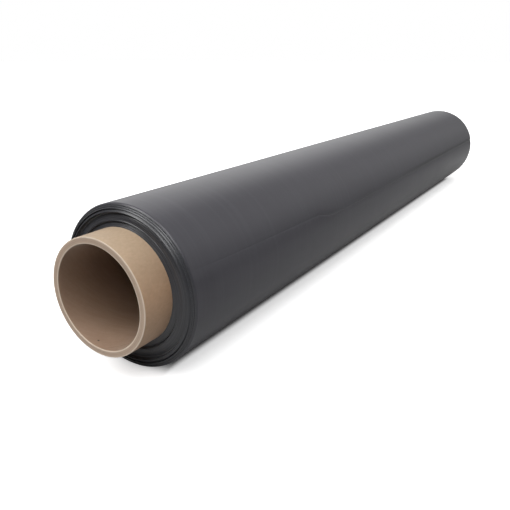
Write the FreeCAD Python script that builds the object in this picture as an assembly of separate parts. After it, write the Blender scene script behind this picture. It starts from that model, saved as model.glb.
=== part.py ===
import FreeCAD, Part
import math
import os

# A roll of stretch wrap: one long web of film wound on a cardboard tube.
# It lies on its side on the plane z = 0 with its axis along X, and sizes are in millimetres.
# The origin is on that plane, under the middle of the roll. The near end is the one at -X.

# Cardboard tube, one spiral-wound piece
tube_bore = 46.0
tube_wall = 3.0
tube_stand_out = 16.0     # from the foremost turns of the film to the cut end, at both ends
tube_edge = 0.3           # blunted edge of a cut end
tube_lift = 1.5           # the tube sits that much above the middle of the winding

# Web of film
film_width = 500.0
film_diameter = 75.0
flat_depth = 0.3          # how far the soft roll has settled on the surface it lies on

# Free edge of the last turn, which runs the whole width of the web on the -Y side
tail_step = 0.25
tail_angle = 12.5         # degrees above the roll's middle

# Last turns, which have necked in and give both ends of the roll a rounded rim
rim_width = 2.5
rim_bundles = 3
rim_neck_in = 2.3

# A few turns that have drifted back, and the foremost turns inside them
groove_width = 0.4
groove_depth = 0.7
lip_width = 1.2

# Turns that have drifted along the tube: a dish at the near end and a low cone at the far end
shoulder_width = 0.5
shoulder_drift = 1.2
dish_bundles = 4
crest_drift = 0.9
crest_width = 1.0
crest_height = 0.5

# First turns, which have drifted less and meet the tube almost level with the foremost turns
foot_width = 2.2
foot_bundles = 2
foot_drift = 0.2

# How far the rounded edge of each bundle of turns stands out
rim_bead = 0.07
dish_bead = 0.05

tube_radius = tube_bore / 2 + tube_wall
film_radius = film_diameter / 2
lower_radius = film_radius - tail_step / 2
rim_zone = rim_width + groove_width + lip_width + shoulder_width
dish_width = film_radius - tube_radius - rim_zone - crest_width - foot_width
tail = math.radians(tail_angle)
along = FreeCAD.Vector(1, 0, 0)
spare = 1.0               # stock that the outline and the tube's hole cut away
trim = 0.05               # the rim's own stock, so that the outline cuts it cleanly


def winding_middle():
    # The outline rests on the plane and reaches equally far to both sides of the origin.
    y = -tail_step * (1 + math.cos(tail)) / 4
    z = lower_radius - flat_depth + tail_step / 2 * math.sin(tail)
    return FreeCAD.Vector(0, y, z)


def tube_middle():
    return winding_middle() + FreeCAD.Vector(0, 0, tube_lift)


def arc_point(middle, radius, angle):
    return middle + FreeCAD.Vector(0, -radius * math.cos(angle), radius * math.sin(angle))


def arc(middle, radius, start, end):
    places = [start, (start + end) / 2, end]
    return Part.Arc(*[arc_point(middle, radius, angle) for angle in places]).toShape()


def winding_outline():
    # One turn of a spiral: two half circles whose middles lie half a step apart, and a flat foot.
    # Angles run from -Y over the top, so the free edge is where the spiral steps down.
    upper = winding_middle()
    lower = arc_point(upper, -tail_step / 2, tail)
    rise = math.asin(lower.z / lower_radius)
    far_side = tail + math.pi
    foot_back = math.pi + rise
    foot_front = 2 * math.pi - rise
    under_edge = tail + 2 * math.pi
    edges = [
        arc(upper, film_radius, tail, far_side),
        arc(lower, lower_radius, far_side, foot_back),
        Part.makeLine(
            arc_point(lower, lower_radius, foot_back), arc_point(lower, lower_radius, foot_front)
        ),
        arc(lower, lower_radius, foot_front, under_edge),
        Part.makeLine(arc_point(lower, lower_radius, under_edge), arc_point(upper, film_radius, tail)),
    ]
    return Part.Face(Part.Wire(edges))


def turn_edges():
    # Each station is the radius of a turn, its drift along +X, how far it has necked in
    # and how far the bundle of turns inside it is rounded.
    stations = []
    for i in range(rim_bundles):
        inward = i / rim_bundles
        neck_in = rim_neck_in * (1 - inward) ** 1.5
        radius = film_radius + trim - (rim_width + trim) * inward
        stations.append((radius, 0.0, neck_in, rim_bead))
    radius = film_radius - rim_width
    stations.append((radius, 0.0, 0.0, 0.0))
    stations.append((radius - groove_width / 2, groove_depth, 0.0, 0.0))
    radius -= groove_width
    stations.append((radius, 0.0, 0.0, rim_bead))
    radius -= lip_width
    stations.append((radius, 0.0, 0.0, 0.0))
    radius -= shoulder_width
    for i in range(dish_bundles):
        inward = i / dish_bundles
        drift = shoulder_drift + (crest_drift - shoulder_drift) * inward
        stations.append((radius - dish_width * inward, drift, 0.0, dish_bead))
    radius -= dish_width
    stations.append((radius, crest_drift, 0.0, 0.0))
    stations.append((radius - crest_width / 2, crest_drift - crest_height, 0.0, 0.0))
    radius -= crest_width
    for i in range(foot_bundles + 1):
        inward = i / foot_bundles
        drift = crest_drift + (foot_drift - crest_drift) * inward
        stations.append((radius - foot_width * inward, drift, 0.0, dish_bead))
    return stations


def bundle_edge(start, end, side, height):
    # The edge of a bundle of turns, between two points of the end of the roll
    if height == 0:
        return Part.makeLine(start, end)
    slope = end - start
    outward = FreeCAD.Vector(-side * slope.z, 0, side * slope.x)
    outward.normalize()
    return Part.Arc(start, (start + end) / 2 + outward * height, end).toShape()


def winding_end(side):
    # The first and last point of one end, from the rim in, and the edges of its bundles
    base = winding_middle()
    points = []
    heights = []
    for radius, drift, neck_in, height in turn_edges():
        x = side * (film_width / 2 - neck_in) + drift
        points.append(base + FreeCAD.Vector(x, 0, radius))
        heights.append(height)
    bundles = [bundle_edge(a, b, side, height) for a, b, height in zip(points, points[1:], heights)]
    return points[0], points[-1], bundles


def wound_film():
    # Every turn is the same web, so what stands back at the near end stands out at the far end.
    base = winding_middle()
    near_rim, near_foot, near_bundles = winding_end(-1)
    far_rim, far_foot, far_bundles = winding_end(1)
    near_skirt = near_rim + FreeCAD.Vector(spare, 0, spare)
    far_skirt = far_rim + FreeCAD.Vector(-spare, 0, spare)
    inside = base + FreeCAD.Vector(0, 0, tube_radius - tube_lift - spare)
    near_bore = inside + along * near_foot.x
    far_bore = inside + along * far_foot.x
    corners = [near_foot, near_bore, far_bore, far_foot]
    edges = near_bundles + [Part.makeLine(a, b) for a, b in zip(corners, corners[1:])] + far_bundles
    corners = [far_rim, far_skirt, near_skirt, near_rim]
    edges += [Part.makeLine(a, b) for a, b in zip(corners, corners[1:])]
    section = Part.Wire(Part.__sortEdges__(edges))
    turns = Part.makeFace(section, "Part::FaceMakerBullseye").revolve(base, along, 360)
    length = film_width + 2 * (shoulder_drift + spare)
    outline = winding_outline()
    outline.translate(along * (-length / 2))
    body = turns.common(outline.extrude(along * length))
    hole = Part.makeCylinder(tube_radius, length, tube_middle() - along * (length / 2), along)
    return body.cut(hole)


def cardboard_tube():
    length = film_width + 2 * tube_stand_out
    start = tube_middle() - along * (length / 2)
    wall = Part.makeCylinder(tube_radius, length, start, along)
    tube = wall.cut(Part.makeCylinder(tube_bore / 2, length, start, along))
    rims = [edge for edge in tube.Edges if isinstance(edge.Curve, Part.Circle)]
    return tube.makeChamfer(tube_edge, rims)


os.makedirs("parts", exist_ok=True)
for name, shape in (("cardboard_tube", cardboard_tube()), ("wound_film", wound_film())):
    shape.exportStep("parts/" + name + ".step")
    box = shape.optimalBoundingBox()
    print(name, len(shape.Solids), "solid,", len(shape.Faces), "faces, valid", shape.isValid())
    print("  volume %.0f, x %.2f to %.2f" % (shape.Volume, box.XMin, box.XMax))
    print("  y %.3f to %.3f, z %.3f to %.3f" % (box.YMin, box.YMax, box.ZMin, box.ZMax))
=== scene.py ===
import bpy
import bmesh
import math
import random
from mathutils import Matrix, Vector, noise


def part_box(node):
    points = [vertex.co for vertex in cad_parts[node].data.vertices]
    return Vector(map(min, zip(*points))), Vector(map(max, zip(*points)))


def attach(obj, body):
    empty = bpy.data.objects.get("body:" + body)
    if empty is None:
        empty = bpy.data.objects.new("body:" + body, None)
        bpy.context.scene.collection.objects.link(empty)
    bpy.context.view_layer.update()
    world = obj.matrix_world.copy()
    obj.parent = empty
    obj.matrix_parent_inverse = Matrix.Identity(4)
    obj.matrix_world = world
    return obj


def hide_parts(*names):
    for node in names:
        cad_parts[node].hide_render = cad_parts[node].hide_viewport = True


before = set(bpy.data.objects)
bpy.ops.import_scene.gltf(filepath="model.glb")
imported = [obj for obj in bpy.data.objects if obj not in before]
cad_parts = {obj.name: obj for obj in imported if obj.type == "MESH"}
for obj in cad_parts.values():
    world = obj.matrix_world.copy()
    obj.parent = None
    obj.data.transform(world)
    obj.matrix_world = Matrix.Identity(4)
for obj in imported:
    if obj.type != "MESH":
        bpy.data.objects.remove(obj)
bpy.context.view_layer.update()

mm = 0.001
along = Vector((1, 0, 0))
tubeLow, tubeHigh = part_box("cardboard_tube")
filmLow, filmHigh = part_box("wound_film")
print("frame loaded, film box", [round(v, 5) for v in filmLow], [round(v, 5) for v in filmHigh])


def finishPiece(name, mesh, node, material):
    mesh.materials.append(material)
    piece = bpy.data.objects.new(name, mesh)
    bpy.context.scene.collection.objects.link(piece)
    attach(piece, "root")
    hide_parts(node)


def finishMesh(bm, name):
    mesh = bpy.data.meshes.new(name)
    bm.to_mesh(mesh)
    bm.free()
    print(name, "triangles", sum(len(p.vertices) - 2 for p in mesh.polygons))
    return mesh


def spinProfile(bm, outline, middle, steps):
    # outline holds (x, radius) pairs of a closed loop, in mm; the spin starts straight up
    ring = [bm.verts.new((x * mm, middle.y, middle.z + radius * mm)) for x, radius in outline]
    edges = [bm.edges.new((a, b)) for a, b in zip(ring, ring[1:] + ring[:1])]
    bmesh.ops.spin(bm, geom=ring + edges, cent=middle, axis=along, dvec=(0, 0, 0),
                   angle=math.tau, steps=steps, use_merge=True, use_duplicate=False)
    bmesh.ops.recalc_face_normals(bm, faces=bm.faces[:])


def smoothShading(bm, sharpAngle):
    for face in bm.faces:
        face.smooth = True
    for edge in bm.edges:
        if len(edge.link_faces) == 2 and edge.calc_face_angle() > math.radians(sharpAngle):
            edge.smooth = False


def newMaterial(name):
    material = bpy.data.materials.new(name)
    material.use_nodes = True
    return material, material.node_tree, material.node_tree.nodes["Principled BSDF"]


def addNode(tree, kind, **settings):
    node = tree.nodes.new(kind)
    for key, value in settings.items():
        setattr(node, key, value)
    return node


def wire(tree, source, target):
    tree.links.new(source, target)


def mathNode(tree, operation, first, second=None):
    node = addNode(tree, "ShaderNodeMath", operation=operation)
    for socket, value in zip(node.inputs, (first, second)):
        if isinstance(value, (int, float)):
            socket.default_value = value
        elif value is not None:
            wire(tree, value, socket)
    return node.outputs[0]


def placeNode(tree, middle, scale):
    # object coordinates, centred on a piece's axis and stretched
    coordinates = addNode(tree, "ShaderNodeTexCoord")
    mapping = addNode(tree, "ShaderNodeMapping", vector_type="POINT")
    mapping.inputs["Scale"].default_value = scale
    mapping.inputs["Location"].default_value = (0, -middle.y * scale[1], -middle.z * scale[2])
    wire(tree, coordinates.outputs["Object"], mapping.inputs["Vector"])
    return mapping.outputs["Vector"]


def splitNode(tree, vector):
    node = addNode(tree, "ShaderNodeSeparateXYZ")
    wire(tree, vector, node.inputs[0])
    return node.outputs


def radiusNode(tree, middle):
    # distance from a piece's axis
    node = addNode(tree, "ShaderNodeVectorMath", operation="LENGTH")
    wire(tree, placeNode(tree, middle, (0, 1, 1)), node.inputs[0])
    return node.outputs["Value"]


def noiseNode(tree, vector, scale, detail, roughness=0.5):
    node = addNode(tree, "ShaderNodeTexNoise")
    node.inputs["Scale"].default_value = scale
    node.inputs["Detail"].default_value = detail
    node.inputs["Roughness"].default_value = roughness
    wire(tree, vector, node.inputs["Vector"])
    return node.outputs["Fac"]


def ringNoise(tree, radius, scale, detail):
    node = addNode(tree, "ShaderNodeTexNoise", noise_dimensions="1D")
    node.inputs["Scale"].default_value = scale
    node.inputs["Detail"].default_value = detail
    wire(tree, radius, node.inputs["W"])
    return node.outputs["Fac"]


def rangeNode(tree, value, fromLow, fromHigh, toLow, toHigh, smooth=False):
    node = addNode(tree, "ShaderNodeMapRange", clamp=True)
    if smooth:
        node.interpolation_type = "SMOOTHSTEP"
    numbers = (("From Min", fromLow), ("From Max", fromHigh), ("To Min", toLow), ("To Max", toHigh))
    for name, number in numbers:
        node.inputs[name].default_value = number
    wire(tree, value, node.inputs["Value"])
    return node.outputs["Result"]


def mixColour(tree, factor, first, second):
    node = addNode(tree, "ShaderNodeMix", data_type="RGBA")
    wire(tree, factor, node.inputs[0])
    for socket, value in ((node.inputs[6], first), (node.inputs[7], second)):
        if isinstance(value, tuple):
            socket.default_value = (*value, 1)
        else:
            wire(tree, value, socket)
    return node.outputs[2]


def shade(colour, share):
    return tuple(c * share for c in colour)


def grey(value):
    return (value, value, value)


def bumpNode(tree, height, distance, strength, below=None):
    node = addNode(tree, "ShaderNodeBump")
    node.inputs["Distance"].default_value = distance
    node.inputs["Strength"].default_value = strength
    wire(tree, height, node.inputs["Height"])
    if below is not None:
        wire(tree, below, node.inputs["Normal"])
    return node.outputs["Normal"]


film = {
    "radius": 37.5,
    "width": 500.0,
    "steps": 250,              # round the roll
    "stations": 66,            # along the roll
    "land": 0.3,               # from a rim to the nearest station
    "tailStep": 0.25,          # drop at the free edge
    "tailPath": [              # x, and degrees above the middle
        (-266, 24), (-225, 21), (-135, 17.4), (-116, 11.2), (90, 12.6), (266, 13.6),
    ],
    "tailGap": [               # x, and how deep the gap under the free edge is
        (-250, 0.0), (-225, 0.03), (-135, 0.05), (-100, 0.25), (40, 0.42), (266, 0.5),
    ],
    "tailGapWidth": [(-120, 1.2), (40, 2.4), (266, 3.6)],    # x, and how far down the gap goes
    "tailRamp": [(-250, 9.0), (-150, 8.0), (-105, 0.6), (-60, 0.15)],  # x, how far above the edge it fades out
    "tailCrowding": 0.85,      # the spin's steps crowd at the free edge
    "rim": [                   # radius, and how far the turns stand out from the outermost one
        (37.5, 0.0), (37.4, 0.28), (37.15, 0.58), (36.8, 0.80), (36.55, 0.94), (36.44, 0.78),
        (36.32, 1.08), (35.95, 1.40), (35.78, 1.46), (35.68, 1.22), (35.55, 1.56), (35.2, 1.84),
        (35.02, 1.92), (34.9, 1.25), (34.72, 0.98), (34.6, 1.40), (34.45, 1.60), (34.0, 1.98),
        (33.6, 2.30), (33.42, 2.28), (33.2, 1.65), (33.0, 0.90), (32.8, 0.62), (32.6, 0.60),
        (31.6, 1.08), (30.5, 1.50), (29.62, 1.72), (29.46, 1.74), (29.1, 1.98), (28.9, 2.02),
        (28.65, 1.60), (28.3, 1.05), (27.6, 1.45), (26.6, 1.90), (26.0, 2.15),
    ],
    "rimNeckIn": 2.3,
    "driftFrom": 34.0,         # turns inside this have drifted, so the far end is their mirror image
    "turnPitch": (0.10, 0.22),  # bundles of turns on the ends
    "turnDepth": (0.01, 0.06),
    "pointGap": 0.04,          # points of an end that lie closer than this are left out
    "spiralFrom": (34.8, 37.2),  # between these radii the rings on an end turn into the spiral's outline
    "roundUntil": 36.0,        # inside this radius the rings move up towards the tube's middle
    "waves": 0.04,             # how far the surface wanders
    "waveLength": 60.0,
    "waveTurns": 1.3,
    "waveSink": 0.8,           # the waves go inwards only
    "colour": (0.061, 0.0594, 0.0700),
    "cloudScale": (22, 30, 30),
    "cloudShades": (0.94, 1.06),
    "streakScale": (420, 9, 9),  # short along the roll and long round it
    "streakShade": 1.35,
    "shadeMiddle": 13.5,       # degrees; painted shade: a darker strip along the free edge's far half, standing in for the shade under the lifted edge
    "shadeReach": (1.4, 3.8),
    "shadeAlong": (-0.03, 0.10),
    "shadeDepth": 0.5,
    "shadeShare": 0.1,
    "endMask": (0.0368, 0.0372),  # the ends' colour gives way to the body's
    "endColour": (0.042, 0.043, 0.049),
    "ringScale": 3200,
    "ringShades": (0.6, 1.35),
    "ringBump": (0.0001, 0.6),
    "roughness": (0.29, 0.32),
    "specular": (0.5, 0.72),   # body and ends
}
tubeRadius = (tubeHigh.z - tubeLow.z) / 2 / mm
tubeMiddle = Vector((0, (tubeLow.y + tubeHigh.y) / 2, (tubeLow.z + tubeHigh.z) / 2))
filmMiddle = Vector((0, tubeMiddle.y, filmHigh.z - film["radius"] * mm))
tubeLift = (tubeMiddle.z - filmMiddle.z) / mm


def between(points, x):
    # straight lines from point to point
    if x <= points[0][0]:
        return points[0][1]
    for (xa, a), (xb, b) in zip(points, points[1:]):
        if x <= xb:
            return a + (b - a) * (x - xa) / (xb - xa)
    return points[-1][1]


def endProfile(side, seed):
    # points of one end from the rim in, with the edges of its bundles of turns
    random.seed(seed)
    f = film
    rim = [(-r, out) for r, out in f["rim"]]
    corner = f["width"] / 2 - f["rimNeckIn"]
    radii = [r for r, out in f["rim"]]
    radius = f["radius"]
    while radius > tubeRadius:
        radii.append(radius)
        radius -= random.uniform(*f["turnPitch"])
    points = []
    last = None
    for r in sorted(set(radii), reverse=True):
        if last is not None and last - r < f["pointGap"]:
            continue
        last = r
        out = between(rim, -r)
        if side > 0 and r < f["driftFrom"]:
            out = 2 * between(rim, -f["driftFrom"]) - out      # what stands back near stands out far
        depth = random.uniform(*f["turnDepth"]) if len(points) % 2 else 0.0
        points.append((side * (corner + out - depth), r))
    return points


def filmMesh():
    near = endProfile(-1, 11)
    far = endProfile(1, 12)
    first = near[0][0] + film["land"]
    reach = far[0][0] - film["land"] - first
    count = film["stations"]
    body = [(first + reach * i / count, film["radius"]) for i in range(count + 1)]
    inner = [(far[-1][0] * (1 - i / 4) + near[-1][0] * i / 4, tubeRadius) for i in range(1, 4)]
    outline = near[::-1] + body + far + inner
    bm = bmesh.new()
    spinProfile(bm, outline, filmMiddle, film["steps"])
    shapeTurns(bm)
    smoothShading(bm, 60)
    return finishMesh(bm, "wound_film_turns")


def shapeTurns(bm):
    # wind the rings into one turn of a spiral, with the free edge on the -Y side
    f = film
    half = f["tailStep"] / 2
    lower = f["radius"] - half
    ringsTo, spiralFrom = f["spiralFrom"]
    for v in bm.verts:
        x = v.co.x / mm
        y = (v.co.y - filmMiddle.y) / mm
        z = (v.co.z - filmMiddle.z) / mm
        radius = math.hypot(y, z)
        turn = (math.atan2(z, -y) - math.pi / 2) / math.tau % 1      # the spin starts on top
        turn = round(turn * f["steps"]) / f["steps"] % 1
        wound = math.tau * turn - f["tailCrowding"] * math.sin(math.tau * turn)
        inside = min(max((radius - ringsTo) / (spiralFrom - ringsTo), 0), 1)
        fade = inside * inside * (3 - 2 * inside)
        if turn == 0:
            drop = f["tailStep"]
        elif wound < math.pi:
            drop = 0.0
        else:
            across = half * math.sin(wound)
            drop = f["radius"] + half * math.cos(wound) - math.sqrt(lower ** 2 - across ** 2)
        below = (math.tau - wound) % math.tau * f["radius"]          # distance below the free edge
        above = wound * f["radius"]
        gapWidth = between(f["tailGapWidth"], x)
        ramp = between(f["tailRamp"], x)
        if below < gapWidth:
            drop += between(f["tailGap"], x) * (1 - below / gapWidth) ** 2
        if 0 < above < ramp:
            drop += f["tailStep"] * (1 - above / ramp) ** 2
        angle = wound + math.radians(between(f["tailPath"], x))
        sine, cosine = math.sin(angle), math.cos(angle)
        where = Vector((x / f["waveLength"], cosine * f["waveTurns"], sine * f["waveTurns"]))
        wander = f["waves"] * (noise.noise(where) - f["waveSink"])
        radius += fade * (wander - drop)
        inwards = (f["roundUntil"] - radius) / (f["roundUntil"] - tubeRadius)
        shift = tubeLift * min(max(inwards, 0), 1)
        v.co.y = filmMiddle.y - radius * cosine * mm
        v.co.z = max(filmMiddle.z + (radius * sine + shift) * mm, 0)


def filmMaterial():
    f = film
    material, tree, shader = newMaterial("darkStretchFilm")
    shader.inputs["IOR"].default_value = 1.5
    radius = radiusNode(tree, filmMiddle)
    endMask = rangeNode(tree, radius, *f["endMask"], 1, 0)
    streaks = noiseNode(tree, placeNode(tree, filmMiddle, f["streakScale"]), 1, 3, 0.6)
    clouds = noiseNode(tree, placeNode(tree, filmMiddle, f["cloudScale"]), 1, 3)
    rings = ringNoise(tree, radius, f["ringScale"], 3)
    dark, pale = [shade(f["colour"], share) for share in f["cloudShades"]]
    body = mixColour(tree, rangeNode(tree, clouds, 0.3, 0.7, 0, 1, True), dark, pale)
    streak = rangeNode(tree, streaks, 0.45, 0.8, 0, 0.5, True)
    body = mixColour(tree, streak, body, shade(f["colour"], f["streakShade"]))

    # painted shade: the body's colour darkens in a strip along the free edge's far half
    x, y, z = splitNode(tree, placeNode(tree, filmMiddle, (1, 1, 1)))
    angle = mathNode(tree, "ARCTAN2", z, mathNode(tree, "MULTIPLY", y, -1.0))
    off = mathNode(tree, "ABSOLUTE", mathNode(tree, "SUBTRACT", angle, math.radians(f["shadeMiddle"])))
    paintedEdgeShade = rangeNode(tree, off, *[math.radians(a) for a in f["shadeReach"]], 1, 0, True)
    farHalf = rangeNode(tree, x, *f["shadeAlong"], 0, f["shadeDepth"], True)
    paintedEdgeShade = mathNode(tree, "MULTIPLY", paintedEdgeShade, farHalf)
    body = mixColour(tree, paintedEdgeShade, body, shade(f["colour"], f["shadeShare"]))

    dark, pale = [shade(f["endColour"], share) for share in f["ringShades"]]
    ends = mixColour(tree, rangeNode(tree, rings, 0.35, 0.65, 0, 1), dark, pale)
    wire(tree, mixColour(tree, endMask, body, ends), shader.inputs["Base Color"])
    wire(tree, rangeNode(tree, clouds, 0.3, 0.7, *f["roughness"], True), shader.inputs["Roughness"])
    wire(tree, rangeNode(tree, endMask, 0, 1, *f["specular"]), shader.inputs["Specular IOR Level"])
    ringHeight = mathNode(tree, "MULTIPLY", rings, endMask)
    wire(tree, bumpNode(tree, ringHeight, *f["ringBump"]), shader.inputs["Normal"])
    return material


finishPiece("stretch_film", filmMesh(), "wound_film", filmMaterial())
print("film done")


tube = {
    "bore": 46.0,
    "steps": 192,              # round the tube
    "stations": 12,            # along the tube
    "land": 2.0,               # from a cut end to the nearest station
    "plies": 7,
    "blunt": 0.3,
    "glueLine": (0.0, 0.03),   # how far a ply's edges and its middle stand back
    "plyMiddle": (0.02, 0.07),
    "seamPitch": 118.0,
    "seamWidth": 0.006,
    "streakLength": 12.0,
    "fibreScale": (500, 900, 900),
    "mottleScale": (60, 60, 60),
    "plyScale": 2600,
    "colour": (0.555, 0.345, 0.205),
    "litTopColour": (0.578, 0.428, 0.285),  # painted light: paler and yellower towards the top, where the lights from above fall; the sides take dimmer, warmer light
    "litTopFrom": (0.005, 0.026),
    "boreColour": (0.352, 0.228, 0.155),
    "boreShadeColour": (0.18, 0.10, 0.055),     # painted shade: the bore further in, darker where less light reaches
    "boreShadeFrom": (8, 52),
    "insideWall": (0.0242, 0.0248),        # radii that part the bore's colour from the outside's
    "mottleColour": (0.20, 0.13, 0.08),
    "fibreColour": (0.30, 0.20, 0.125),
    "streakColour": (0.62, 0.50, 0.38),
    "seamColour": (0.22, 0.15, 0.10),
    "cutColour": (0.47, 0.345, 0.255),
    "cutShades": (0.86, 1.08),
    "cutFrom": (0.35, 0.2),
    "linerColour": (0.74, 0.62, 0.50),
    "outerLiner": (0.02535, 0.02555),
    "innerLiner": (0.02340, 0.02360),
    "linerMix": 0.9,
    "speck": (-262.26, 5.75, 16.36),       # a small dark speck low in the bore
    "speckSize": (0.0003, 0.0006),
    "speckColour": (0.03, 0.02, 0.015),
    "fibreBump": (0.00003, 0.6),
    "seamBump": (0.00015, 0.6),
    "plyBump": (0.0001, 0.8),
}
tubeHalf = tubeHigh.x / mm


def tubeEnd(side):
    # the cut end, from the outside to the bore, with its plies standing a little unevenly
    random.seed(21 + side)
    outer, inner, blunt = tubeRadius, tube["bore"] / 2, tube["blunt"]
    points = [(side * (tubeHalf - blunt), outer), (side * (tubeHalf - blunt * 0.3), outer - blunt * 0.3)]
    ply = (outer - inner - 2 * blunt) / tube["plies"]
    for i in range(tube["plies"]):
        r = outer - blunt - ply * i
        for share, back in ((0.15, "glueLine"), (0.5, "plyMiddle"), (0.85, "glueLine")):
            points.append((side * (tubeHalf - random.uniform(*tube[back])), r - ply * share))
    points += [(side * (tubeHalf - blunt * 0.3), inner + blunt * 0.3), (side * (tubeHalf - blunt), inner)]
    return points


def tubeMesh():
    near = tubeEnd(-1)
    far = tubeEnd(1)
    reach = tubeHalf - tube["land"]
    count = tube["stations"]
    stations = [-reach + 2 * reach * i / count for i in range(count + 1)]
    outside = [(x, tubeRadius) for x in stations]
    inside = [(-x, tube["bore"] / 2) for x in stations]
    bm = bmesh.new()
    spinProfile(bm, near[::-1] + outside + far + inside, tubeMiddle, tube["steps"])
    smoothShading(bm, 60)
    return finishMesh(bm, "spiral_wound_tube")


def tubeMaterial():
    t = tube
    material, tree, shader = newMaterial("kraftTube")
    shader.inputs["Specular IOR Level"].default_value = 0.75
    shader.inputs["Sheen Weight"].default_value = 0.2
    shader.inputs["Sheen Roughness"].default_value = 0.4
    x, y, z = splitNode(tree, placeNode(tree, tubeMiddle, (1, 1, 1)))
    fromMiddle = mathNode(tree, "ABSOLUTE", x)
    radius = radiusNode(tree, tubeMiddle)
    cut = rangeNode(tree, fromMiddle, *[(tubeHalf - v) * mm for v in t["cutFrom"]], 0, 1)

    # the seam and the streaks follow the paper's winding
    turn = mathNode(tree, "DIVIDE", mathNode(tree, "ARCTAN2", z, y), math.tau)
    helix = mathNode(tree, "ADD", mathNode(tree, "DIVIDE", x, t["seamPitch"] * mm), turn)
    offset = mathNode(tree, "ABSOLUTE", mathNode(tree, "SUBTRACT", mathNode(tree, "FRACT", helix), 0.5))
    seam = rangeNode(tree, offset, 0.0, t["seamWidth"], 1, 0)
    winding = mathNode(tree, "MULTIPLY", helix, math.tau)
    wrap = addNode(tree, "ShaderNodeCombineXYZ")
    wire(tree, mathNode(tree, "COSINE", winding), wrap.inputs[0])
    wire(tree, mathNode(tree, "SINE", winding), wrap.inputs[1])
    wire(tree, mathNode(tree, "MULTIPLY", x, t["streakLength"]), wrap.inputs[2])
    streaks = noiseNode(tree, wrap.outputs[0], 14, 3, 0.6)
    fibre = noiseNode(tree, placeNode(tree, tubeMiddle, t["fibreScale"]), 1, 4, 0.6)
    mottle = noiseNode(tree, placeNode(tree, tubeMiddle, t["mottleScale"]), 1, 4, 0.55)
    plies = ringNoise(tree, radius, t["plyScale"], 1)

    # painted shade: the bore darkens from the cut ends inwards
    boreShade = rangeNode(tree, fromMiddle, *[(tubeHalf - v) * mm for v in t["boreShadeFrom"]], 0, 1)
    bore = mixColour(tree, boreShade, t["boreColour"], t["boreShadeColour"])
    # painted light: the outside turns paler and yellower towards its top
    outside = mixColour(tree, rangeNode(tree, z, *t["litTopFrom"], 0, 1), t["colour"], t["litTopColour"])
    wall = mixColour(tree, rangeNode(tree, radius, *t["insideWall"], 0, 1), bore, outside)
    wall = mixColour(tree, rangeNode(tree, mottle, 0.3, 0.7, 0, 0.16), wall, t["mottleColour"])
    wall = mixColour(tree, rangeNode(tree, fibre, 0.35, 0.7, 0, 0.22), wall, t["fibreColour"])
    wall = mixColour(tree, rangeNode(tree, streaks, 0.4, 0.75, 0, 0.09), wall, t["streakColour"])
    wall = mixColour(tree, mathNode(tree, "MULTIPLY", seam, 0.45), wall, t["seamColour"])
    away = addNode(tree, "ShaderNodeVectorMath", operation="DISTANCE")
    wire(tree, addNode(tree, "ShaderNodeTexCoord").outputs["Object"], away.inputs[0])
    away.inputs[1].default_value = [v * mm for v in t["speck"]]
    speck = rangeNode(tree, away.outputs["Value"], *t["speckSize"], 0.85, 0)
    wall = mixColour(tree, speck, wall, t["speckColour"])

    dark, pale = [shade(t["cutColour"], share) for share in t["cutShades"]]
    edge = mixColour(tree, rangeNode(tree, plies, 0.35, 0.65, 0, 1), dark, pale)
    outerLiner = rangeNode(tree, radius, *t["outerLiner"], 0, t["linerMix"])
    innerLiner = rangeNode(tree, radius, *t["innerLiner"], t["linerMix"], 0)
    edge = mixColour(tree, mathNode(tree, "MAXIMUM", outerLiner, innerLiner), edge, t["linerColour"])
    wire(tree, mixColour(tree, cut, wall, edge), shader.inputs["Base Color"])
    wire(tree, rangeNode(tree, fibre, 0.3, 0.7, 0.55, 0.68), shader.inputs["Roughness"])
    bump = bumpNode(tree, fibre, *t["fibreBump"])
    bump = bumpNode(tree, mathNode(tree, "MULTIPLY", seam, -1.0), *t["seamBump"], bump)
    bump = bumpNode(tree, mathNode(tree, "MULTIPLY", plies, cut), *t["plyBump"], bump)
    wire(tree, bump, shader.inputs["Normal"])
    return material


finishPiece("cardboard_core", tubeMesh(), "cardboard_tube", tubeMaterial())
print("tube done")


studio = {
    "floorSize": 30.0,
    "floorSeen": 0.95,          # floor for the camera, lifted to a clean white
    "floorLift": 0.60,
    "underRoll": (0.0140, 0.0192),  # the lift fades out under the film, so that its contact shadow is dark
    "pastEnds": (0.236, 0.254),     # and is back past the film's ends
    "floorLit": 0.42,           # floor for the light that falls on the roll
    "floorGloss": (0.485, 0.325, 0.13),  # floor that the film reflects: beside the roll, farther off, past the table
    "floorReach": ((0.045, 0.090), (0.17, 0.23)),
    "fill": 0.035,
    "lights": [                 # way to each soft light, its strength and its soft edge
        ((0.64, 0.70, 0.32), 0.90, 0.67, 0.99),
        ((0.69, -0.69, 0.21), 0.16, 0.67, 0.99),
        ((0.86, -0.50, 0.05), 0.18, 0.85, 0.99),
        ((0.71, 0.0, 0.71), 0.30, 0.67, 0.99),
        ((0.50, -0.50, 0.71), 0.26, 0.67, 0.99),
        ((-0.50, 0.0, 0.87), 0.20, 0.67, 0.99),
        ((-0.50, 0.40, 0.77), 6.0, 0.93, 0.995),
        ((-0.22, -0.30, 0.92), 4.6, 0.93, 0.995),
        ((-0.64, -0.30, 0.70), 3.2, 0.93, 0.995),
    ],
    "cameraPlace": (-0.40836, -0.16388, 0.13059),
    "cameraTilt": 70.56,
    "cameraTurn": -58.16,
    "lens": 39.46,
}


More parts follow.
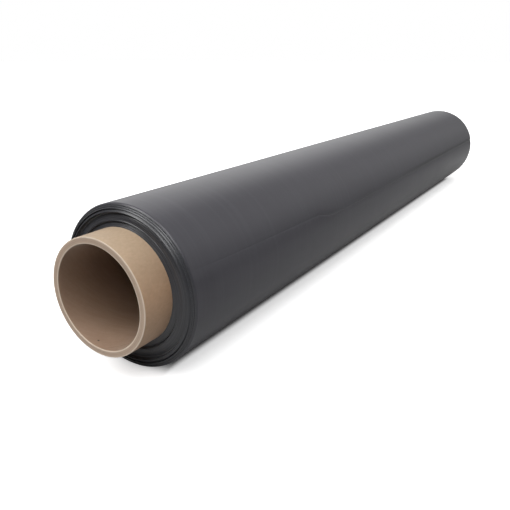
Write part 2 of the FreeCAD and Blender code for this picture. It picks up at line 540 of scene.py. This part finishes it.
def makeFloor():
    s = studio
    bm = bmesh.new()
    bmesh.ops.create_grid(bm, x_segments=1, y_segments=1, size=s["floorSize"] / 2)
    mesh = finishMesh(bm, "floor")
    material, tree, shader = newMaterial("whiteFloor")
    shader.inputs["Roughness"].default_value = 0.9
    shader.inputs["Specular IOR Level"].default_value = 0.0
    shader.inputs["Emission Color"].default_value = (1, 1, 1, 1)
    path = addNode(tree, "ShaderNodeLightPath")
    seen = path.outputs["Is Camera Ray"]
    x, y, z = splitNode(tree, addNode(tree, "ShaderNodeTexCoord").outputs["Object"])
    lengthwise = mathNode(tree, "ABSOLUTE", x)
    aside = mathNode(tree, "ABSOLUTE", y)
    clear = mathNode(tree, "MAXIMUM", rangeNode(tree, aside, *s["underRoll"], 0, 1, True),
                     rangeNode(tree, lengthwise, *s["pastEnds"], 0, 1, True))
    lift = mathNode(tree, "MULTIPLY", mathNode(tree, "MULTIPLY", seen, s["floorLift"]), clear)
    wire(tree, lift, shader.inputs["Emission Strength"])
    near, middle, far = [grey(value) for value in s["floorGloss"]]
    nearReach, farReach = s["floorReach"]
    gloss = mixColour(tree, rangeNode(tree, aside, *nearReach, 0, 1, True), near, middle)
    gloss = mixColour(tree, rangeNode(tree, aside, *farReach, 0, 1, True), gloss, far)
    lit = mixColour(tree, path.outputs["Is Glossy Ray"], grey(s["floorLit"]), gloss)
    wire(tree, mixColour(tree, seen, lit, grey(s["floorSeen"])), shader.inputs["Base Color"])
    mesh.materials.append(material)
    floor = bpy.data.objects.new("floor", mesh)
    bpy.context.scene.collection.objects.link(floor)


def makeWorld():
    # a dim room with a few large soft lights, which the camera sees as plain white
    world = bpy.data.worlds.new("studioWorld")
    world.use_nodes = True
    tree = world.node_tree
    background = tree.nodes["Background"]
    background.inputs["Color"].default_value = (1, 1, 1, 1)
    way = addNode(tree, "ShaderNodeTexCoord").outputs["Generated"]
    room = studio["fill"]
    for place, strength, edge, middle in studio["lights"]:
        towards = addNode(tree, "ShaderNodeVectorMath", operation="DOT_PRODUCT")
        towards.inputs[1].default_value = Vector(place).normalized()
        wire(tree, way, towards.inputs[0])
        lobe = rangeNode(tree, towards.outputs["Value"], edge, middle, 0, strength, True)
        room = mathNode(tree, "ADD", lobe, room)
    white = addNode(tree, "ShaderNodeMix", data_type="FLOAT")
    wire(tree, addNode(tree, "ShaderNodeLightPath").outputs["Is Camera Ray"], white.inputs[0])
    wire(tree, room, white.inputs[2])
    white.inputs[3].default_value = 1.0
    wire(tree, white.outputs[0], background.inputs["Strength"])
    bpy.context.scene.world = world


def makeCamera():
    data = bpy.data.cameras.new("camera")
    data.sensor_width = 36
    data.lens = studio["lens"]
    data.clip_start = 0.01
    camera = bpy.data.objects.new("camera", data)
    bpy.context.scene.collection.objects.link(camera)
    camera.location = studio["cameraPlace"]
    camera.rotation_euler = (math.radians(studio["cameraTilt"]), 0, math.radians(studio["cameraTurn"]))
    bpy.context.scene.camera = camera


makeFloor()
makeWorld()
makeCamera()
bpy.context.scene.view_settings.view_transform = "Standard"
print("studio done")
